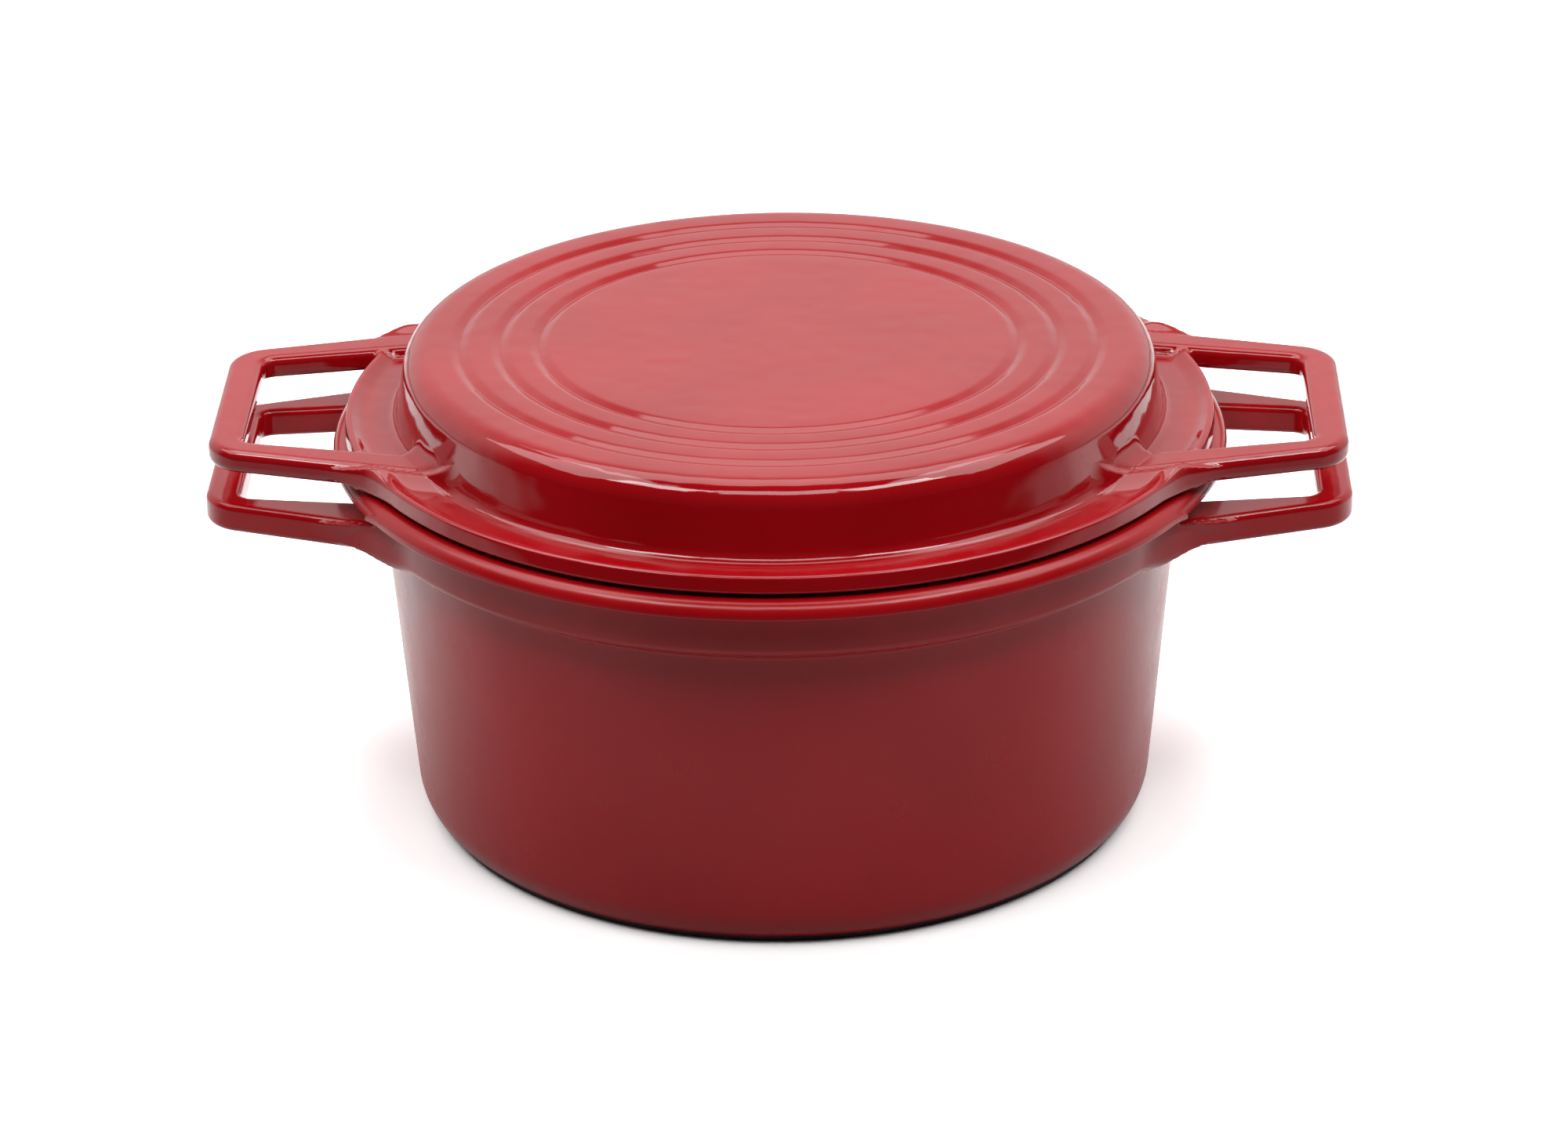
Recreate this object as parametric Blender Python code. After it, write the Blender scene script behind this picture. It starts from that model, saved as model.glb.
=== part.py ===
"""Enamelled cast iron dutch oven: a pot and a lid, each with two loop handles.

Metres, +Z up. The origin is the middle of the base, and the handles point along +X and -X.
The pot stays put. The lid lifts straight up, along the Z axis of the empty called lid.
"""

from math import cos, radians, sin

import bmesh
import bpy
from mathutils import Vector

# Driving dimensions
GAP = 0.0003                # clearance between neighbouring solids
SEGMENTS = 64               # flats around a turned piece
ARC_STEP = 22.5             # degrees turned by one flat of a profile's arc
COAT = 0.0005               # thickness of the black enamel inside

BASE_RADIUS = 0.1046        # flat face that the pot stands on
FLOOR = 0.0044              # thickness of the pot's floor
WALL = 0.0046               # thickness of the pot's side wall
WALL_RADIUS_LOW = 0.1105    # outer radius where the wall starts, above the bottom corner
WALL_RADIUS_HIGH = 0.1178   # outer radius under the shoulder
WALL_LOW = 0.0120
WALL_HIGH = 0.0955
COLLAR_RADIUS = 0.1260
COLLAR_LOW = 0.1003
BEAD_RADIUS = 0.1323        # outermost lip of the pot
BEAD_LOW = 0.1141
RIM = 0.1188                # iron face under the rim's enamel
MOUTH_RADIUS = 0.1206

SEAT = RIM + 2 * (GAP + COAT) + GAP     # underside of the lid's flange, over both coats
FLANGE_RADIUS = 0.1288
FLANGE_LOW = 0.1202
FLANGE_TOP = 0.1242
RING_RADIUS = 0.1186        # ring that drops into the mouth and centres the lid
RING_LOW = 0.1156
DOME_RADIUS = 0.1108
DOME_CORNER = 0.0080
LID_TOP = 0.1453
LID_PLATE = 0.0045          # thickness of the lid's flat top
GROOVE_RADII = (0.0706, 0.0822, 0.0941)
GROOVE_HALF_WIDTH = 0.0017
GROOVE_FLOOR_HALF_WIDTH = 0.0005
GROOVE_DEPTH = 0.0010

HANDLE_EDGE = 0.0022        # rounding of a handle's long edges
HANDLE_CORNER = 0.0130
HANDLE_WINDOW_CORNER = 0.0045
HANDLE_ROOT = 0.0940        # the arms' outlines start here, inside the casting, and are cut to it

POT_HANDLE = {
    "low": 0.1003, "high": 0.1090, "reach": 0.1680, "bar": 0.0105,
    "arm_out": ((0.118, 0.0533), (0.157, 0.0400)),
    "arm_in": ((0.118, 0.0370), (0.154, 0.0328)),
}
LID_HANDLE = {
    "low": 0.1194, "high": 0.1265, "reach": 0.1664, "bar": 0.0105,
    "arm_out": ((0.119, 0.0513), (0.155, 0.0415)),
    "arm_in": ((0.117, 0.0395), (0.155, 0.0318)),
}

RED = (0.30, 0.006, 0.010, 1.0)
BLACK = (0.012, 0.012, 0.013, 1.0)


def clear_scene():
    for old in list(bpy.data.objects):
        bpy.data.objects.remove(old, do_unlink=True)


def material(name, colour, roughness, coat_weight):
    made = bpy.data.materials.new(name)
    made.use_nodes = True
    shader = made.node_tree.nodes["Principled BSDF"]
    shader.inputs["Base Color"].default_value = colour
    shader.inputs["Roughness"].default_value = roughness
    shader.inputs["Metallic"].default_value = 0.0
    shader.inputs["Coat Weight"].default_value = coat_weight
    made.diffuse_color = colour
    return made


def arc(centre, radius, start, end):
    """Points on a circle, from one angle to another in degrees, both ends included."""
    steps = max(1, round(abs(end - start) / ARC_STEP))
    angles = [radians(start + (end - start) * i / steps) for i in range(steps + 1)]
    return [(centre[0] + radius * cos(a), centre[1] + radius * sin(a)) for a in angles]


def offset_path(path, distance):
    """The path moved sideways, to its left, with mitred corners. Points on the axis stay on it."""
    points = [Vector(p) for p in path]
    sides = []
    for a, b in zip(points, points[1:]):
        run = (b - a).normalized()
        sides.append(Vector((-run.y, run.x)))
    moved = []
    for i, point in enumerate(points):
        before = sides[max(i - 1, 0)]
        after = sides[min(i, len(sides) - 1)]
        mitre = (before + after).normalized()
        shifted = point + mitre * (distance / mitre.dot(after))
        moved.append((0.0 if point.x == 0 else shifted.x, shifted.y))
    return moved


def pot_inside():
    """The iron of the pot's cavity, from the middle of the floor out to the edge of the rim."""
    corner = 0.0105
    low = WALL_LOW + 0.003
    lean = (WALL_RADIUS_HIGH - WALL_RADIUS_LOW) / (WALL_HIGH - WALL_LOW)
    foot = WALL_RADIUS_LOW - WALL + lean * (low - WALL_LOW)
    return [
        (0.0, FLOOR),
        *arc((foot - corner, FLOOR + corner), corner, -90, 0),
        (WALL_RADIUS_HIGH - WALL, WALL_HIGH - 0.001),
        (MOUTH_RADIUS - 0.0010, COLLAR_LOW + 0.0025),
        (MOUTH_RADIUS, RIM - 0.0012),
        (MOUTH_RADIUS + 0.0012, RIM),
        (BEAD_RADIUS - 0.0038, RIM),
    ]


def pot_outside():
    """The pot's red face, from the top of the bead down to the middle of the base."""
    bead = 0.0032
    corner = 0.0150
    edge_angle = -47.8
    return [
        *arc((BEAD_RADIUS - bead, RIM - bead), bead, 90, 0),
        (BEAD_RADIUS, BEAD_LOW + 0.0005),
        (BEAD_RADIUS - 0.0005, BEAD_LOW),
        (COLLAR_RADIUS + 0.0012, BEAD_LOW - 0.0004),
        (COLLAR_RADIUS, BEAD_LOW - 0.0018),
        (COLLAR_RADIUS - 0.0010, COLLAR_LOW + 0.0022),
        (COLLAR_RADIUS - 0.0026, COLLAR_LOW),
        (WALL_RADIUS_HIGH + 0.0018, WALL_HIGH + 0.0020),
        (WALL_RADIUS_HIGH, WALL_HIGH - 0.0010),
        *arc((WALL_RADIUS_LOW - corner, WALL_LOW + 0.0013), corner, -5, edge_angle),
        (BASE_RADIUS, 0.0),
        (0.0, 0.0),
    ]


def lid_outside():
    """The lid's red face, from the middle of the top out and down to the flange's lower edge."""
    points = [(0.0, LID_TOP)]
    for radius in GROOVE_RADII:
        points += [
            (radius - GROOVE_HALF_WIDTH, LID_TOP),
            (radius - GROOVE_FLOOR_HALF_WIDTH, LID_TOP - GROOVE_DEPTH),
            (radius + GROOVE_FLOOR_HALF_WIDTH, LID_TOP - GROOVE_DEPTH),
            (radius + GROOVE_HALF_WIDTH, LID_TOP),
        ]
    points += arc((DOME_RADIUS - DOME_CORNER, LID_TOP - DOME_CORNER), DOME_CORNER, 90, 0)
    cove = 0.0032
    edge = 0.0018
    points += arc((DOME_RADIUS + 0.0012 + cove, FLANGE_TOP + cove), cove, 180, 270)
    points += arc((FLANGE_RADIUS - edge, FLANGE_TOP - edge), edge, 90, 0)
    points += arc((FLANGE_RADIUS - edge, FLANGE_LOW + edge), edge, 0, -90)
    return points


def lid_inside():
    """The iron under the lid, from the middle of its hollow out to the seat on the rim."""
    corner = 0.0050
    ceiling = LID_TOP - LID_PLATE
    inner = DOME_RADIUS - 0.0046
    ring_inner = RING_RADIUS - 0.0044
    round_off = 0.0010
    return [
        (0.0, ceiling),
        *arc((inner - corner, ceiling - corner), corner, 90, 0),
        (inner + 0.0014, LID_TOP - 0.0193),
        (ring_inner, RING_LOW + 0.0036),
        (ring_inner, RING_LOW + round_off),
        (ring_inner + round_off, RING_LOW),
        (RING_RADIUS - round_off, RING_LOW),
        (RING_RADIUS, RING_LOW + round_off),
        (RING_RADIUS, SEAT - 0.0008),
        (RING_RADIUS + 0.0008, SEAT),
        (FLANGE_RADIUS - 0.0026, SEAT),
    ]


def turned(name, outline, finish, parent=None):
    """A solid turned around Z from an outline that starts and ends on the axis."""
    mesh = bpy.data.meshes.new(name)
    edges = [(i, i + 1) for i in range(len(outline) - 1)]
    mesh.from_pydata([(r, 0.0, z) for r, z in outline], edges, [])
    piece = bpy.data.objects.new(name, mesh)
    bpy.context.scene.collection.objects.link(piece)
    screw = piece.modifiers.new("Turn", "SCREW")
    screw.axis = "Z"
    screw.angle = radians(360)
    screw.steps = SEGMENTS
    screw.render_steps = SEGMENTS
    screw.use_merge_vertices = True
    screw.merge_threshold = 0.00001
    screw.use_smooth_shade = True
    if finish:
        mesh.materials.append(finish)
    piece.parent = parent
    return piece


def lining(name, iron, finish, parent, side):
    """A coat of enamel over the iron: a thin shell a gap away from it. side is 1 or -1."""
    back = offset_path(iron, side * GAP)
    face = offset_path(iron, side * (GAP + COAT))
    if side > 0:
        return turned(name, face + back[::-1], finish, parent)
    return turned(name, back + face[::-1], finish, parent)


def as_cutter(piece):
    piece.hide_render = True
    piece.display_type = "WIRE"
    return piece


def pot_cutter():
    """Everything that the pot's iron fills, a gap larger, to trim the pot's handles."""
    skin = offset_path(pot_outside()[:-2], GAP)
    return as_cutter(turned("pot_trim", [(0.0, skin[0][1]), *skin, (0.0, skin[-1][1])], None))


def lid_cutter():
    """Everything over the rim that the lid's iron fills, a gap larger, to trim the lid's handles."""
    skin = offset_path(lid_outside(), GAP)
    wide = FLANGE_RADIUS + GAP
    upper = [point for point in skin if point[1] > FLANGE_TOP - 0.0018]
    outline = [(0.0, LID_TOP + 0.01), (DOME_RADIUS - 0.01, LID_TOP + 0.01)]
    outline += [point for point in upper if point[0] > DOME_RADIUS - 0.003]
    outline += [(wide, BEAD_LOW), (0.0, BEAD_LOW)]
    return as_cutter(turned("lid_trim", outline, None))


def along(line, x):
    """The y of a straight edge at x, where line holds two of its points."""
    (x0, y0), (x1, y1) = line
    return y0 + (y1 - y0) * (x - x0) / (x1 - x0)


def rounded_corner(before, corner, after, radius):
    """The corner replaced by points on a circle that touches both of its sides."""
    to_before = (Vector(before) - Vector(corner)).normalized()
    to_after = (Vector(after) - Vector(corner)).normalized()
    middle = (to_before + to_after).normalized()
    half = to_before.angle(to_after) / 2
    centre = Vector(corner) + middle * (radius / sin(half))
    touch = radius / (sin(half) / cos(half))
    first = Vector(corner) + to_before * touch - centre
    last = Vector(corner) + to_after * touch - centre
    turn = first.angle_signed(last)
    steps = max(2, round(abs(turn) / radians(ARC_STEP * 0.75)))
    points = []
    for i in range(steps + 1):
        a = -turn * i / steps
        points.append((
            centre.x + first.x * cos(a) - first.y * sin(a),
            centre.y + first.x * sin(a) + first.y * cos(a),
        ))
    return points


def handle_outline(size):
    """Plan of the +X handle: out along one arm, across the grip, back, and round the window."""
    far = size["reach"]
    near = far - size["bar"]
    root = HANDLE_ROOT
    out_root = (root, along(size["arm_out"], root))
    out_corner = (far, along(size["arm_out"], far))
    in_root = (root, along(size["arm_in"], root))
    in_corner = (near, along(size["arm_in"], near))
    upper = [out_root]
    upper += rounded_corner(out_root, out_corner, (far, 0.0), HANDLE_CORNER)
    inner = [in_root]
    inner += rounded_corner(in_root, in_corner, (near, 0.0), HANDLE_WINDOW_CORNER)
    lower = [(x, -y) for x, y in reversed(upper)]
    inner_lower = [(x, -y) for x, y in reversed(inner)]
    return upper + lower + list(reversed(inner_lower)) + list(reversed(inner))


def handle(name, size, cutter, finish, parent, side):
    """A loop handle. side is 1 on +X and -1 on -X."""
    outline = [(x * side, y) for x, y in handle_outline(size)]
    made = bmesh.new()
    rim = [made.verts.new((x, y, size["low"])) for x, y in outline]
    face = made.faces.new(rim)
    lifted = bmesh.ops.extrude_face_region(made, geom=[face])["geom"]
    top = [v for v in lifted if isinstance(v, bmesh.types.BMVert)]
    bmesh.ops.translate(made, verts=top, vec=(0.0, 0.0, size["high"] - size["low"]))
    bmesh.ops.recalc_face_normals(made, faces=made.faces)
    mesh = bpy.data.meshes.new(name)
    made.to_mesh(mesh)
    made.free()
    mesh.shade_smooth()
    mesh.set_sharp_from_angle(angle=radians(35))
    mesh.materials.append(finish)
    piece = bpy.data.objects.new(name, mesh)
    bpy.context.scene.collection.objects.link(piece)
    bevel = piece.modifiers.new("Rounded edges", "BEVEL")
    bevel.width = HANDLE_EDGE
    bevel.segments = 2
    bevel.limit_method = "ANGLE"
    bevel.angle_limit = radians(60)
    trim = piece.modifiers.new("Trim to casting", "BOOLEAN")
    trim.operation = "DIFFERENCE"
    trim.solver = "EXACT"
    trim.object = cutter
    piece.parent = parent
    return piece


def empty(name):
    made = bpy.data.objects.new(name, None)
    made.empty_display_size = 0.05
    bpy.context.scene.collection.objects.link(made)
    return made


def build_pot(red, black):
    pot = empty("pot")
    turned("pot_body", pot_inside() + pot_outside(), red, pot)
    lining("pot_enamel_lining", pot_inside(), black, pot, 1)
    cutter = pot_cutter()
    handle("pot_handle_left", POT_HANDLE, cutter, red, pot, -1)
    handle("pot_handle_right", POT_HANDLE, cutter, red, pot, 1)


def build_lid(red, black):
    lid = empty("lid")
    turned("lid_body", lid_outside() + lid_inside()[::-1], red, lid)
    lining("lid_enamel_lining", lid_inside(), black, lid, -1)
    cutter = lid_cutter()
    handle("lid_handle_left", LID_HANDLE, cutter, red, lid, -1)
    handle("lid_handle_right", LID_HANDLE, cutter, red, lid, 1)


def main():
    clear_scene()
    red = material("red_enamel", RED, 0.12, 1.0)
    black = material("black_enamel", BLACK, 0.55, 0.0)
    build_pot(red, black)
    build_lid(red, black)


main()
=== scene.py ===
"""Looks of an enamelled cast iron dutch oven: fine castings, enamel, studio light and camera."""

from math import atan2, cos, pi, radians, sin, tan

import bpy
import numpy as np
from mathutils import Matrix, Vector


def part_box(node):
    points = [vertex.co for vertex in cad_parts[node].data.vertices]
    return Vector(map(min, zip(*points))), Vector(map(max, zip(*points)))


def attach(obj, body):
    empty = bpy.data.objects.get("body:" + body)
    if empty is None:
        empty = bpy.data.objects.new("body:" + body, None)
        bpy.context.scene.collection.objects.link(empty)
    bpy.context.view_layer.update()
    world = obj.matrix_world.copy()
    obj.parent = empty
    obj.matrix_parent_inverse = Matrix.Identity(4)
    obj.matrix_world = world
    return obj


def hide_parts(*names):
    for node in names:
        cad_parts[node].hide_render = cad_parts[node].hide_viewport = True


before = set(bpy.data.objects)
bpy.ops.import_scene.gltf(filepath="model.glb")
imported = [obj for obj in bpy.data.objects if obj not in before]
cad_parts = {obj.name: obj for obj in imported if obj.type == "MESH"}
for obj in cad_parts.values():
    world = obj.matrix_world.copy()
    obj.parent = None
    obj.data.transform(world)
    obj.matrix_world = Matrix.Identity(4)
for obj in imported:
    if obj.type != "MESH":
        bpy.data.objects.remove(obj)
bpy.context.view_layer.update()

MM = 0.001

# Anchors taken from the CAD pieces
POT_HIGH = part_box("pot_body")[1]
LID_LOW, LID_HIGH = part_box("lid_body")
RIM = POT_HIGH.z
BEAD_RADIUS = POT_HIGH.x
LID_TOP = LID_HIGH.z
FLANGE_RADIUS = LID_HIGH.x
RING_LOW = LID_LOW.z

SEGMENTS = 256     # flats around a turned piece
ARC_STEP = 6.0   # degrees turned by one flat of a profile's arc
RUN_STEP = 6 * MM                        # longest flat on a straight stretch of a profile
CELL = 0.8 * MM   # size of a face on a handle
BACK_GAP = 0.05 * MM                     # between a coat and the iron behind it
COAT = 0.8 * MM                          # from the iron to the face of the black enamel

BEHIND_WALL = 1.2 * MM                   # a loop's root stays this far from the cavity behind it
LOOP_DEPTH = 2.2 * MM                    # how deep a loop's piece reaches into its casting
LOOP_BAR = 10.5 * MM                     # width of the grip, seen from above
PROUD = 0.015 * MM                       # a loop's fillet stands this much off its casting
SINK_SLOPE = 0.25                        # and slopes into it by this much beyond the fillet
RIM_WIDTH = 2.0 * MM                     # for this far
FLOOR_FALL = 3.0                         # slope of the lid loop's floor outside the flange
FLOOR_FILLET = 0.6 * MM

GROOVE_RADII = (70.6 * MM, 82.2 * MM, 94.1 * MM)
GROOVE_HALF_WIDTH = 2.6 * MM
GROOVE_DEPTH = 1.1 * MM


# ---------------------------------------------------------------- outlines

def rounded(corners):
    """Corners given as (across, up, fillet radius) joined by straight runs and arcs."""
    points = []
    last_corner = len(corners) - 1
    for i, (x, y, radius) in enumerate(corners):
        if radius == 0 or i in (0, last_corner):
            points.append((x, y))
            continue
        here = Vector((x, y))
        before = Vector(corners[i - 1][:2])
        after = Vector(corners[i + 1][:2])
        to_before = (before - here).normalized()
        to_after = (after - here).normalized()
        half = to_before.angle(to_after) / 2
        centre = here + (to_before + to_after).normalized() * (radius / sin(half))
        first = here + to_before * (radius / tan(half)) - centre
        last = here + to_after * (radius / tan(half)) - centre
        turn = atan2(first.x * last.y - first.y * last.x, first.dot(last))
        steps = max(2, round(abs(turn) / radians(ARC_STEP)))
        for k in range(steps + 1):
            a = turn * k / steps
            points.append((
                centre.x + first.x * cos(a) - first.y * sin(a),
                centre.y + first.x * sin(a) + first.y * cos(a),
            ))
    return points


def evenly(points, longest):
    """The same line with every stretch longer than longest cut into equal parts."""
    fine = [points[0]]
    for (x0, y0), (x1, y1) in zip(points, points[1:]):
        parts = max(1, int(np.ceil(np.hypot(x1 - x0, y1 - y0) / longest)))
        fine += [(x0 + (x1 - x0) * k / parts, y0 + (y1 - y0) * k / parts) for k in range(1, parts + 1)]
    return fine


def offset_path(path, distance):
    """The path moved to its left, with mitred corners. Points on the axis stay on it."""
    points = [Vector(p) for p in path]
    sides = []
    for a, b in zip(points, points[1:]):
        run = (b - a).normalized()
        sides.append(Vector((-run.y, run.x)))
    moved = []
    for i, point in enumerate(points):
        before = sides[max(i - 1, 0)]
        after = sides[min(i, len(sides) - 1)]
        mitre = (before + after).normalized()
        shifted = point + mitre * (distance / mitre.dot(after))
        moved.append((0.0 if point.x == 0 else shifted.x, shifted.y))
    return moved


def pot_inside():
    """The pot's cavity in the iron, from the floor's middle out to the rim."""
    return [
        (0.0, 4.4 * MM, 0),
        (105.4 * MM, 4.4 * MM, 10.5 * MM),
        (113.2 * MM, 94.5 * MM, 5.0 * MM),
        (119.6 * MM, 102.8 * MM, 4.0 * MM),
        (120.6 * MM, RIM, 1.2 * MM),
    ]


def pot_outside():
    """The pot's red face, from the bead down to the base."""
    return [
        (BEAD_RADIUS, RIM, 4.4 * MM),
        (BEAD_RADIUS, 113.8 * MM, 0.6 * MM),
        (126.2 * MM, 113.2 * MM, 1.2 * MM),
        (125.4 * MM, 100.2 * MM, 3.2 * MM),
        (118.0 * MM, 96.2 * MM, 2.0 * MM),
        (109.95 * MM, 5.77 * MM, 14.0 * MM),
        (105.8 * MM, 2.0 * MM, 0.5 * MM),
        (104.6 * MM, 0.0, 0.5 * MM),
        (0.0, 0.0, 0),
    ]


def lid_outside():
    """The lid's red face, from the middle of its top out to the flange's lower edge."""
    corners = [(0.0, LID_TOP, 0)]
    for radius in GROOVE_RADII:
        corners += [
            (radius - GROOVE_HALF_WIDTH, LID_TOP, 4.0 * MM),
            (radius, LID_TOP - GROOVE_DEPTH, 1.2 * MM),
            (radius + GROOVE_HALF_WIDTH, LID_TOP, 4.0 * MM),
        ]
    corners += [
        (109.9 * MM, LID_TOP, 8.0 * MM),
        (113.6 * MM, 123.3 * MM, 3.4 * MM),
        (123.5 * MM, 123.3 * MM, 5.0 * MM),
        (126.4 * MM, 125.4 * MM, 1.0 * MM),
        (128.0 * MM, 125.4 * MM, 1.0 * MM),
        (FLANGE_RADIUS, 120.2 * MM, 1.0 * MM),
    ]
    return corners


def lid_inside():
    """The iron under the lid, from the flange's lower edge in to the middle of the hollow."""
    seat = 120.7 * MM
    return [
        (126.9 * MM, 120.2 * MM, 0.15 * MM),
        (126.6 * MM, seat, 0.15 * MM),
        (118.6 * MM, seat, 0.8 * MM),
        (118.6 * MM, RING_LOW, 1.2 * MM),
        (114.2 * MM, RING_LOW, 1.2 * MM),
        (114.2 * MM, 119.4 * MM, 2.5 * MM),
        (107.7 * MM, 126.6 * MM, 4.0 * MM),
        (106.2 * MM, 140.8 * MM, 5.5 * MM),
        (0.0, 140.8 * MM, 0),
    ]


# ---------------------------------------------------------------- turned pieces

def turned(name, outline):
    """A closed mesh turned around Z from an outline of (radius, height) from axis to axis."""
    inner = [p for p in outline if p[0] > 0]
    angles = 2 * pi * np.arange(SEGMENTS) / SEGMENTS
    radius = np.array([p[0] for p in inner])[:, None]
    height = np.array([p[1] for p in inner])[:, None] + 0 * angles
    rings = np.stack([radius * np.cos(angles), radius * np.sin(angles), height], axis=2).reshape(-1, 3)
    start = len(rings)
    points = np.vstack([rings, [(0, 0, outline[0][1]), (0, 0, outline[-1][1])]])
    faces = []
    for ring in range(len(inner) - 1):
        for k in range(SEGMENTS):
            a = ring * SEGMENTS + k
            b = ring * SEGMENTS + (k + 1) % SEGMENTS
            faces.append((a, a + SEGMENTS, b + SEGMENTS, b))
    last = (len(inner) - 1) * SEGMENTS
    for k in range(SEGMENTS):
        after = (k + 1) % SEGMENTS
        faces.append((start, k, after))
        faces.append((start + 1, last + after, last + k))
    return mesh_piece(name, points, faces)


def mesh_piece(name, points, faces):
    mesh = bpy.data.meshes.new(name)
    mesh.from_pydata([tuple(p) for p in points], [], faces)
    mesh.validate()
    mesh.shade_smooth()
    piece = bpy.data.objects.new(name, mesh)
    bpy.context.scene.collection.objects.link(piece)
    return piece


# ---------------------------------------------------------------- distance fields

def polygon_distance(x, y, outline):
    """Signed distance from points in a plane to a closed outline, negative inside."""
    nearest = np.full(x.shape, np.inf)
    inside = np.zeros(x.shape, bool)
    for (ax, ay), (bx, by) in zip(outline, outline[1:] + outline[:1]):
        ex, ey = bx - ax, by - ay
        wx, wy = x - ax, y - ay
        along = np.clip((wx * ex + wy * ey) / (ex * ex + ey * ey), 0, 1)
        nearest = np.minimum(nearest, (wx - ex * along) ** 2 + (wy - ey * along) ** 2)
        if ay != by:
            inside ^= ((ay > y) != (by > y)) & (x < ax + ex * (y - ay) / ey)
    return np.where(inside, -1.0, 1.0) * np.sqrt(nearest)


def shrunk_trapezoid(x0, x1, edge, radius):
    """Corners of a trapezoid between x0 and x1, sides y = +-edge(x), moved in by radius."""
    (ax, ay), (bx, by) = edge
    slope = (by - ay) / (bx - ax)
    inward = radius * np.hypot(1, slope)
    y0 = ay + slope * (x0 - ax) - inward
    y1 = ay + slope * (x1 - radius - ax) - inward
    return [(x0, -y0), (x1 - radius, -y1), (x1 - radius, y1), (x0, y0)]


def soft_min(a, b, reach):
    """The smaller of two distances, with a fillet where they are within reach of each other."""
    blend = np.maximum(reach - np.abs(a - b), 0) / reach
    return np.minimum(a, b) - blend * blend * reach / 4


def soft_max(a, b, reach):
    return -soft_min(-a, -b, reach)


def smooth_step(value, low, high):
    t = np.clip((value - low) / (high - low), 0, 1)
    return t * t * (3 - 2 * t)


class Loop:
    """Distance fields of one loop handle on +X and of the casting that it grows from.

    arm_out and arm_in are two points on the arms' outer and inner sides, seen from above.
    fillets are the reaches of the fillet inside the window, on the arms' outer sides, where
    the loop's level faces meet the casting's wall, and elsewhere on the level faces. wall is the
    pair of radii between which the third of these turns into the fourth. skin is the outline of
    the casting, in radius and height, and hollow the outline of the cavity behind it.
    """

    def __init__(self, low, high, arm_out, arm_in, bar, edge, root, skin, hollow, fillets, wall, floor):
        self.low = low
        self.high = high
        self.edge = edge
        self.outer_radius = 13.0 * MM
        self.window_radius = 4.6 * MM
        window_root = root - 30 * MM   # well inside the casting, so that the window has no end there
        self.outer = shrunk_trapezoid(root, high.x, arm_out, self.outer_radius)
        self.window = shrunk_trapezoid(window_root, high.x - bar, arm_in, self.window_radius)
        self.arm_out = arm_out
        self.arm_in = arm_in
        self.skin = skin
        self.hollow = hollow
        self.floor = floor
        self.fillets = fillets
        self.wall = wall

    def fields(self, p):
        """Distance to the loop alone, distance to the casting, and reach of the fillet."""
        x, y, z = p.T
        radius = np.hypot(x, y)
        plan = polygon_distance(x, y, self.outer) - self.outer_radius
        window = polygon_distance(x, y, self.window) - self.window_radius
        plan = soft_max(plan, -window, 0.5 * MM)
        half = (self.high.z - self.low.z) / 2
        across = plan + self.edge
        upright = np.abs(z - (self.low.z + self.high.z) / 2) - half + self.edge
        outside = np.hypot(np.maximum(across, 0), np.maximum(upright, 0))
        loop = outside + np.minimum(np.maximum(across, upright), 0) - self.edge
        iron = polygon_distance(radius, z, self.skin)
        inner, outer, at_wall, level = self.fillets
        share = smooth_step(np.abs(y), self.side(x, self.arm_in), self.side(x, self.arm_out))
        sideways = inner + (outer - inner) * share
        flat = level + (at_wall - level) * (1 - smooth_step(radius, *self.wall))
        reach = flat + (sideways - flat) * smooth_step(across - upright, -0.5 * self.edge, self.edge)
        return loop, iron, reach

    @staticmethod
    def side(x, arm):
        (ax, ay), (bx, by) = arm
        return ay + (by - ay) * (x - ax) / (bx - ax)

    def joined(self, p, fields):
        loop, iron, reach = fields
        joined = soft_min(loop, iron, reach)
        if self.floor is None:
            return joined
        height, radius = self.floor
        beyond = np.maximum(np.hypot(p[:, 0], p[:, 1]) - radius, 0)
        under = height - p[:, 2] - FLOOR_FALL * beyond
        return soft_max(joined, under, FLOOR_FILLET)

    def surface(self, p):
        """The face to be seen: loop and casting joined by fillets, above the floor if there is one."""
        return self.joined(p, self.fields(p))

    def body(self, p):
        """The piece's own closed shape: the seen face, sinking into the iron beyond the fillet."""
        fields = self.fields(p)
        loop, iron, reach = fields
        sunk = self.joined(p, fields) - PROUD + SINK_SLOPE * np.maximum(loop - reach, 0)
        rim = loop - reach - RIM_WIDTH
        cavity = polygon_distance(np.hypot(p[:, 0], p[:, 1]), p[:, 2], self.hollow)
        behind = np.maximum(-iron - LOOP_DEPTH, BEHIND_WALL - cavity)
        return np.maximum(np.maximum(sunk, rim), behind)


def gradient(field, p, step=0.02 * MM):
    columns = []
    for axis in range(3):
        shift = np.zeros(3)
        shift[axis] = step
        columns.append((field(p + shift) - field(p - shift)) / (2 * step))
    return np.stack(columns, axis=1)


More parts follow.
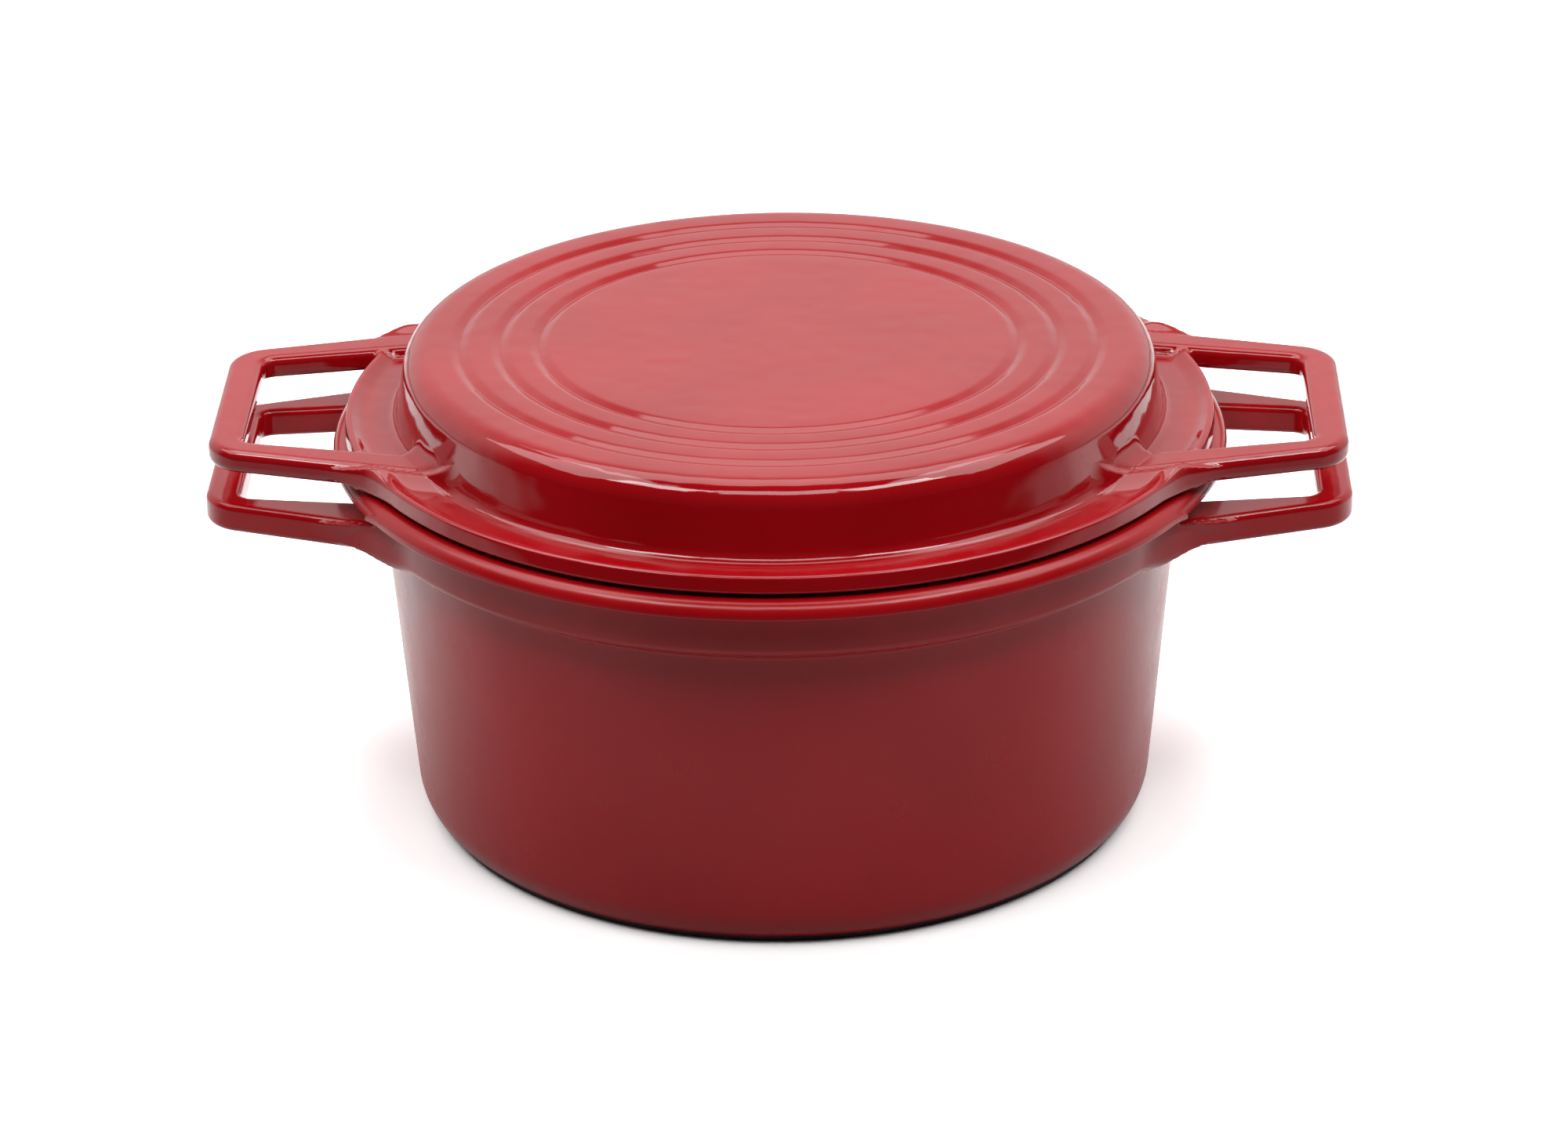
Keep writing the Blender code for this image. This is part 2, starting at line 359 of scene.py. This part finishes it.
def surface_net(values, low, cell):
    """Points and four-sided faces of the zero surface of a field sampled on a grid."""
    inside = values < 0
    shape = np.array(values.shape)
    sums = np.zeros(tuple(shape - 1) + (3,))
    counts = np.zeros(tuple(shape - 1))
    for axis in range(3):
        first = [slice(None)] * 3
        second = [slice(None)] * 3
        first[axis] = slice(0, -1)
        second[axis] = slice(1, None)
        va, vb = values[tuple(first)], values[tuple(second)]
        crossing = inside[tuple(first)] != inside[tuple(second)]
        where = np.argwhere(crossing)
        share = va[crossing] / (va[crossing] - vb[crossing])
        at = where.astype(float)
        at[:, axis] += share
        others = [k for k in range(3) if k != axis]
        for da in (0, 1):
            for db in (0, 1):
                target = where.copy()
                target[:, others[0]] -= da
                target[:, others[1]] -= db
                index = tuple(target.T)
                np.add.at(sums, index, at)
                np.add.at(counts, index, 1)
    used = counts > 0
    number = np.full(counts.shape, -1)
    number[used] = np.arange(used.sum())
    points = np.array(low) + cell * sums[used] / counts[used][:, None]
    faces = []
    for axis in range(3):
        first = [slice(None)] * 3
        second = [slice(None)] * 3
        first[axis] = slice(0, -1)
        second[axis] = slice(1, None)
        ia, ib = inside[tuple(first)], inside[tuple(second)]
        u, v = (axis + 1) % 3, (axis + 2) % 3
        for where, flip in ((np.argwhere(ia & ~ib), False), (np.argwhere(~ia & ib), True)):
            ring = []
            for du, dv in ((0, 0), (1, 0), (1, 1), (0, 1)):
                target = where.copy()
                target[:, u] += du - 1
                target[:, v] += dv - 1
                ring.append(number[tuple(target.T)])
            quad = np.stack(ring[::-1] if flip else ring, axis=1)
            faces.append(quad)
    return points, np.vstack(faces)


def neighbour_mean(points, faces):
    """For each point, the mean of the points that share an edge with it."""
    total = np.zeros_like(points)
    count = np.zeros(len(points))
    for a, b in zip(faces.T, np.roll(faces, -1, axis=1).T):
        np.add.at(total, a, points[b])
        np.add.at(total, b, points[a])
        np.add.at(count, a, 1)
        np.add.at(count, b, 1)
    return total / count[:, None]


def settle(shape, points, faces, rounds=8):
    """Evens the points out along the surface and puts them exactly on it."""
    for _ in range(rounds):
        slope = gradient(shape.body, points)
        normal = slope / np.maximum(np.linalg.norm(slope, axis=1, keepdims=True), 1e-9)
        move = 0.6 * (neighbour_mean(points, faces) - points)
        move -= normal * (move * normal).sum(axis=1, keepdims=True)
        points = points + move
        slope = gradient(shape.body, points)
        size = np.maximum((slope * slope).sum(axis=1), 0.25)
        step = (shape.body(points) / size)[:, None] * slope
        longest = np.linalg.norm(step, axis=1, keepdims=True)
        step *= np.minimum(1, 0.5 * CELL / np.maximum(longest, 1e-12))
        points = points - step
    return points


def handle_piece(name, shape, side):
    """A loop handle with its fillets. side is 1 on +X and -1 on -X."""
    margin = 4 * CELL
    room = np.array([26 * MM, 20 * MM, 16 * MM])   # for the fillets, around the CAD handle
    low = np.array(shape.low) - room - margin
    high = np.array(shape.high) + room * (0, 1, 1) + margin
    counts = np.ceil((high - low) / CELL).astype(int) + 1
    grid = np.stack(np.meshgrid(*[low[k] + CELL * np.arange(counts[k]) for k in range(3)], indexing="ij"), 3)
    values = np.empty(tuple(counts))
    for i in range(counts[0]):
        values[i] = shape.body(grid[i].reshape(-1, 3)).reshape(counts[1:])
    points, faces = surface_net(values, low, CELL)
    points = settle(shape, points, faces)
    normals = gradient(shape.surface, points)
    normals /= np.maximum(np.linalg.norm(normals, axis=1, keepdims=True), 1e-9)
    if side < 0:
        points = points * (-1, 1, 1)
        normals = normals * (-1, 1, 1)
        faces = faces[:, ::-1]
    piece = mesh_piece(name, points, faces.tolist())
    piece.data.normals_split_custom_set_from_vertices([tuple(n) for n in normals])
    return piece


def pot_loop_shape():
    low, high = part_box("pot_handle_right")
    skin = rounded([(90 * MM, RIM, 0)] + pot_outside()[:6] + [(106 * MM, 60 * MM, 0), (90 * MM, 60 * MM, 0)])
    over = RIM + 10 * MM
    hollow = rounded(pot_inside()[:-1] + [(121.5 * MM, over, 0), (0, over, 0)])
    return Loop(
        low, high,
        arm_out=((118 * MM, 53.3 * MM), (157 * MM, 40.0 * MM)),
        arm_in=((118 * MM, 37.0 * MM), (154 * MM, 32.8 * MM)),
        bar=LOOP_BAR, edge=2.0 * MM, root=110 * MM, skin=skin, hollow=hollow,
        fillets=(5.0 * MM, 15.0 * MM, 3.0 * MM, 3.0 * MM), wall=(126 * MM, 130 * MM), floor=None,
    )


def lid_loop_shape():
    low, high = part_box("lid_handle_right")
    inner = [(126.6 * MM, 120.2 * MM, 0), (126.0 * MM, 121.3 * MM, 0), (90 * MM, 121.3 * MM, 0)]
    skin = rounded([(90 * MM, LID_TOP, 0)] + lid_outside()[-6:] + inner)
    hollow = rounded(lid_inside()[5:] + [(0, RING_LOW, 0), (114.2 * MM, RING_LOW, 0)])
    return Loop(
        low, high,
        arm_out=((119 * MM, 51.3 * MM), (155 * MM, 41.5 * MM)),
        arm_in=((117 * MM, 39.5 * MM), (155 * MM, 31.8 * MM)),
        bar=LOOP_BAR, edge=2.6 * MM, root=97 * MM, skin=skin, hollow=hollow,
        fillets=(2.0 * MM, 13.0 * MM, 6.0 * MM, 0.8 * MM), wall=(115 * MM, 119 * MM),
        floor=(119.9 * MM, 131.5 * MM),
    )


# ---------------------------------------------------------------- materials

def new_material(name, roughness, specular=0.5, metallic=0.0):
    """A node material with the values that are the same all over set on its shader."""
    made = bpy.data.materials.new(name)
    made.use_nodes = True
    shader = made.node_tree.nodes["Principled BSDF"]
    shader.inputs["Roughness"].default_value = roughness
    shader.inputs["Specular IOR Level"].default_value = specular
    shader.inputs["Metallic"].default_value = metallic
    return made, made.node_tree, shader


def add(tree, kind, values=None, **settings):
    made = tree.nodes.new(kind)
    for key, value in settings.items():
        setattr(made, key, value)
    for key, value in (values or {}).items():
        made.inputs[key].default_value = value
    return made


def noise(tree, scale, detail=2.0, roughness=0.5, stretch=(1, 1, 1)):
    """Noise in the object's own coordinates. scale is in features per metre."""
    place = add(tree, "ShaderNodeTexCoord")
    mapping = add(tree, "ShaderNodeMapping", {"Scale": stretch})
    tree.links.new(place.outputs["Object"], mapping.inputs["Vector"])
    made = add(tree, "ShaderNodeTexNoise", {"Scale": scale, "Detail": detail, "Roughness": roughness})
    tree.links.new(mapping.outputs["Vector"], made.inputs["Vector"])
    return made.outputs["Fac"]


def ramp(tree, value, start, end, low, high):
    """A smooth step from low, where value is at start, to high, where it is at end."""
    limits = {"From Min": start, "From Max": end, "To Min": low, "To Max": high}
    made = add(tree, "ShaderNodeMapRange", limits, interpolation_type="SMOOTHSTEP")
    tree.links.new(value, made.inputs["Value"])
    return made.outputs["Result"]


def ranged(tree, value, low, high):
    """Noise spread out between low and high."""
    return ramp(tree, value, 0.2, 0.8, low, high)


def combined(tree, operation, *values):
    made = add(tree, "ShaderNodeMath", operation=operation)
    for number, value in enumerate(values):
        tree.links.new(value, made.inputs[number])
    return made.outputs["Value"]


def part_of(tree, system, axis):
    """One of X, Y and Z of a coordinate system, such as the object's own or its normal."""
    place = add(tree, "ShaderNodeTexCoord")
    parts = add(tree, "ShaderNodeSeparateXYZ")
    tree.links.new(place.outputs[system], parts.inputs["Vector"])
    return parts.outputs[axis]


def mixed_colours(tree, value, first, second):
    ramp = add(tree, "ShaderNodeValToRGB")
    ramp.color_ramp.interpolation = "EASE"
    ramp.color_ramp.elements[0].position = 0.25
    ramp.color_ramp.elements[1].position = 0.75
    ramp.color_ramp.elements[0].color = (*first, 1)
    ramp.color_ramp.elements[1].color = (*second, 1)
    tree.links.new(value, ramp.inputs["Fac"])
    return ramp.outputs["Color"]


def bumps(tree, shader, layers):
    """Stacked bumps, each (height value, height in metres)."""
    below = None
    for value, height in layers:
        made = add(tree, "ShaderNodeBump", {"Strength": 1.0, "Distance": height})
        tree.links.new(value, made.inputs["Height"])
        if below is not None:
            tree.links.new(below, made.inputs["Normal"])
        below = made.outputs["Normal"]
    tree.links.new(below, shader.inputs["Normal"])


def red_enamel(name, gloss_low, gloss_high, peel, specular, level=1.0, grip=1.0, painted_shade=1.0):
    """Glossy red glass enamel over iron, a little uneven.

    peel is the height of its orange peel. Roughness is multiplied by level on the faces that look
    up, and by grip out on the loops. The last argument, under 1, darkens the whole red: painted
    shade, a darker copy of the same enamel standing in for the shade on the lid's walls.
    """
    made, tree, shader = new_material(name, 0.1, specular=specular)
    # both reds scaled down by the painted shade factor
    deep = (0.40 * painted_shade, 0.002, 0.005)
    bright = (0.46 * painted_shade, 0.003, 0.007)
    tree.links.new(mixed_colours(tree, noise(tree, 22, 1), deep, bright), shader.inputs["Base Color"])
    gloss = ranged(tree, noise(tree, 45, 1), gloss_low, gloss_high)
    on_level = ramp(tree, part_of(tree, "Normal", "Z"), 0.9, 1.0, 1.0, level)
    reach = combined(tree, "ABSOLUTE", part_of(tree, "Object", "X"))
    on_grip = ramp(tree, reach, 124 * MM, 138 * MM, 1.0, grip)
    gloss = combined(tree, "MULTIPLY", gloss, on_level)
    tree.links.new(combined(tree, "MULTIPLY", gloss, on_grip), shader.inputs["Roughness"])
    bumps(tree, shader, [(noise(tree, 140, 0), peel)])
    return made


def black_enamel():
    """Satin black enamel with the fine grain of the iron showing through."""
    made, tree, shader = new_material("black_enamel", 0.4)
    colour = mixed_colours(tree, noise(tree, 40, 4), (0.008, 0.008, 0.009), (0.016, 0.016, 0.017))
    tree.links.new(colour, shader.inputs["Base Color"])
    tree.links.new(ranged(tree, noise(tree, 90, 3), 0.34, 0.5), shader.inputs["Roughness"])
    bumps(tree, shader, [(noise(tree, 260, 2), 0.05 * MM), (noise(tree, 1500, 3), 0.02 * MM)])
    return made


def bare_base():
    """The ground underside: dark iron with turning marks."""
    made, tree, shader = new_material("ground_base", 0.55, metallic=0.35)
    place = add(tree, "ShaderNodeTexCoord")
    length = add(tree, "ShaderNodeVectorMath", operation="LENGTH")
    flat = add(tree, "ShaderNodeMapping", {"Scale": (1, 1, 0)})
    tree.links.new(place.outputs["Object"], flat.inputs["Vector"])
    tree.links.new(flat.outputs["Vector"], length.inputs[0])
    marks = add(tree, "ShaderNodeTexNoise", {"Scale": 1400, "Detail": 2.0}, noise_dimensions="1D")
    tree.links.new(length.outputs["Value"], marks.inputs["W"])
    colour = mixed_colours(tree, noise(tree, 50, 4), (0.022, 0.021, 0.021), (0.05, 0.047, 0.046))
    tree.links.new(colour, shader.inputs["Base Color"])
    tree.links.new(ranged(tree, marks.outputs["Fac"], 0.45, 0.68), shader.inputs["Roughness"])
    bumps(tree, shader, [(marks.outputs["Fac"], 0.05 * MM), (noise(tree, 900, 3), 0.03 * MM)])
    return made


# ---------------------------------------------------------------- the object

def show(piece, body, material_list, slot, *nodes):
    for material in material_list:
        piece.data.materials.append(material)
    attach(piece, body)
    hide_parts(*nodes)
    return piece


def coat_outline(iron, side):
    """Outline of a coat over a path of iron that starts on the axis. side is 1 or -1."""
    back = offset_path(iron, side * BACK_GAP)
    face = offset_path(iron, side * COAT)
    return face + back[::-1] if side > 0 else back + face[::-1]


def build_pot():
    red = red_enamel("red_enamel_pot", 0.2, 0.28, 0.07 * MM, 0.5, grip=0.4)
    outline = evenly(rounded(pot_inside() + pot_outside()), RUN_STEP)
    casting = turned("pot_casting", outline)
    show(casting, "pot", [red, bare_base()], "red_enamel", "pot_body")
    enamel_edge = 2.0 * MM
    for face in casting.data.polygons:
        low = face.center.z < enamel_edge
        face.material_index = 1 if low and face.normal.z < 0.5 else 0
    iron = evenly(rounded(pot_inside() + [(125.4 * MM, RIM, 0)]), RUN_STEP)
    coat = turned("pot_coat", coat_outline(iron, 1))
    show(coat, "pot", [black_enamel()], "black_enamel", "pot_enamel_lining")
    shape = pot_loop_shape()
    show(handle_piece("pot_loop_left", shape, -1), "pot", [red], "red_enamel", "pot_handle_left")
    show(handle_piece("pot_loop_right", shape, 1), "pot", [red], "red_enamel", "pot_handle_right")


def build_lid():
    # the lid's red darkened to 0.86 of the pot's: painted shade
    red = red_enamel("red_enamel_lid", 0.05, 0.09, 0.14 * MM, 0.7, level=2.4, painted_shade=0.86)
    outline = evenly(rounded(lid_outside() + lid_inside()), RUN_STEP)
    show(turned("lid_casting", outline), "lid", [red], "red_enamel", "lid_body")
    iron = evenly(rounded(lid_inside()[1:]), RUN_STEP)[::-1]
    coat = turned("lid_coat", coat_outline(iron, -1))
    show(coat, "lid", [black_enamel()], "black_enamel", "lid_enamel_lining")
    shape = lid_loop_shape()
    show(handle_piece("lid_loop_left", shape, -1), "lid", [red], "red_enamel", "lid_handle_left")
    show(handle_piece("lid_loop_right", shape, 1), "lid", [red], "red_enamel", "lid_handle_right")


# ---------------------------------------------------------------- the studio

def camera_sees(tree, data_type, otherwise, seen):
    """One value for camera rays and another for the rest. A value is a link or a number."""
    first, result = {"FLOAT": (2, 0), "RGBA": (6, 2)}[data_type]
    path = add(tree, "ShaderNodeLightPath")
    made = add(tree, "ShaderNodeMix", data_type=data_type)
    tree.links.new(path.outputs["Is Camera Ray"], made.inputs[0])
    for number, value in ((first, otherwise), (first + 1, seen)):
        if isinstance(value, float):
            made.inputs[number].default_value = value
        else:
            tree.links.new(value, made.inputs[number])
    return made.outputs[result]


def build_floor():
    """A wide pale floor, level with the base.

    For bounced light its colour is painted shade, dark in front. For reflections it is painted shade in
    front and painted light beside the pot. The camera sees it evenly pale.
    """
    size = 6.0
    corners = [(-size, -size, 0), (size, -size, 0), (size, size, 0), (-size, size, 0)]
    floor = mesh_piece("studio_floor", corners, [(0, 1, 2, 3)])
    made, tree, shader = new_material("pale_floor", 0.8, specular=0.0)
    depth = part_of(tree, "Object", "Y")
    # painted shade: the floor's colour for bounced light darkens towards the front
    bounce_shade = ramp(tree, depth, -0.8, -0.3, 0.02, 0.43)
    # painted shade for reflections, dark in front of the pot
    reflected_shade = ramp(tree, depth, -0.42, -0.15, 0.02, 0.45)
    # painted light for reflections, pale beside and behind the pot
    reflected_light = ramp(tree, depth, -0.13, 0.13, 0.0, 0.75)
    path = add(tree, "ShaderNodeLightPath")
    other = add(tree, "ShaderNodeMix")
    tree.links.new(path.outputs["Is Glossy Ray"], other.inputs[0])
    tree.links.new(bounce_shade, other.inputs[2])
    tree.links.new(combined(tree, "ADD", reflected_shade, reflected_light), other.inputs[3])
    pale = mixed_colours(tree, noise(tree, 3, 2), (1.46, 1.52, 1.52), (1.50, 1.56, 1.56))
    tree.links.new(camera_sees(tree, "RGBA", other.outputs[0], pale), shader.inputs["Base Color"])
    floor.data.materials.append(made)


def build_world():
    """Soft white light from behind and from the sides, with a dim room in front."""
    world = bpy.data.worlds.new("studio")
    bpy.context.scene.world = world
    world.use_nodes = True
    tree = world.node_tree
    background = tree.nodes["Background"]
    behind = ramp(tree, part_of(tree, "Generated", "Y"), -0.15, 0.35, 0.03, 0.92)
    overhead = ramp(tree, part_of(tree, "Generated", "Z"), 0.55, 0.85, 1.0, 0.35)
    light = combined(tree, "MULTIPLY", behind, overhead)
    tree.links.new(camera_sees(tree, "FLOAT", light, 1.0), background.inputs["Strength"])
    background.inputs["Color"].default_value = (1, 1, 1, 1)


def softbox(name, azimuth, elevation, size, radiance):
    """A softbox on a dome around the object. Azimuth 0 is in front and 90 is on +X."""
    distance = 1.6
    middle = Vector((0, 0, 0.12))
    azimuth = radians(azimuth)
    elevation = radians(elevation)
    way = Vector((sin(azimuth) * cos(elevation), -cos(azimuth) * cos(elevation), sin(elevation)))
    light = bpy.data.lights.new(name, "AREA")
    light.shape = "RECTANGLE"
    light.size, light.size_y = size
    light.energy = radiance * pi * size[0] * size[1]
    lamp = bpy.data.objects.new(name, light)
    bpy.context.scene.collection.objects.link(lamp)
    lamp.location = middle + distance * way
    lamp.rotation_euler = (-way).to_track_quat("-Z", "Y").to_euler()


def build_lights():
    """Wide softboxes at the sides and above, with two bright strips and a weak softbox in front."""
    softbox("softbox_left", -90, 54, (1.1, 0.8), 2.6)
    softbox("softbox_right", 90, 54, (1.1, 0.8), 2.6)
    softbox("softbox_above", 180, 74, (1.6, 1.0), 2.2)
    softbox("strip_left", -46, 54, (0.60, 0.30), 8.0)
    softbox("strip_right", 46, 54, (0.60, 0.30), 8.0)
    softbox("softbox_front", 0, 58, (0.8, 0.40), 4.0)


def build_camera():
    """The camera orbits the object's axis: where it looks, how far, how high, and its lean."""
    aim = Vector((0.0007, 0, 0.0700))
    distance = 1.8222
    azimuth = radians(1.42)
    elevation = radians(24.078)
    lean = radians(-0.703)
    forward = Vector((-sin(azimuth) * cos(elevation), cos(azimuth) * cos(elevation), -sin(elevation)))
    right = forward.cross(Vector((0, 0, 1))).normalized()
    up = right.cross(forward)
    right, up = right * cos(lean) + up * sin(lean), up * cos(lean) - right * sin(lean)
    data = bpy.data.cameras.new("camera")
    data.sensor_width = 36.0
    data.lens = 139.66
    camera = bpy.data.objects.new("camera", data)
    bpy.context.scene.collection.objects.link(camera)
    turn = Matrix((right, up, -forward)).transposed().to_4x4()
    camera.matrix_world = Matrix.Translation(aim - forward * distance) @ turn
    bpy.context.scene.camera = camera


def main():
    build_camera()
    build_pot()
    build_lid()
    build_floor()
    build_world()
    build_lights()
    bpy.context.scene.view_settings.view_transform = "Standard"


main()
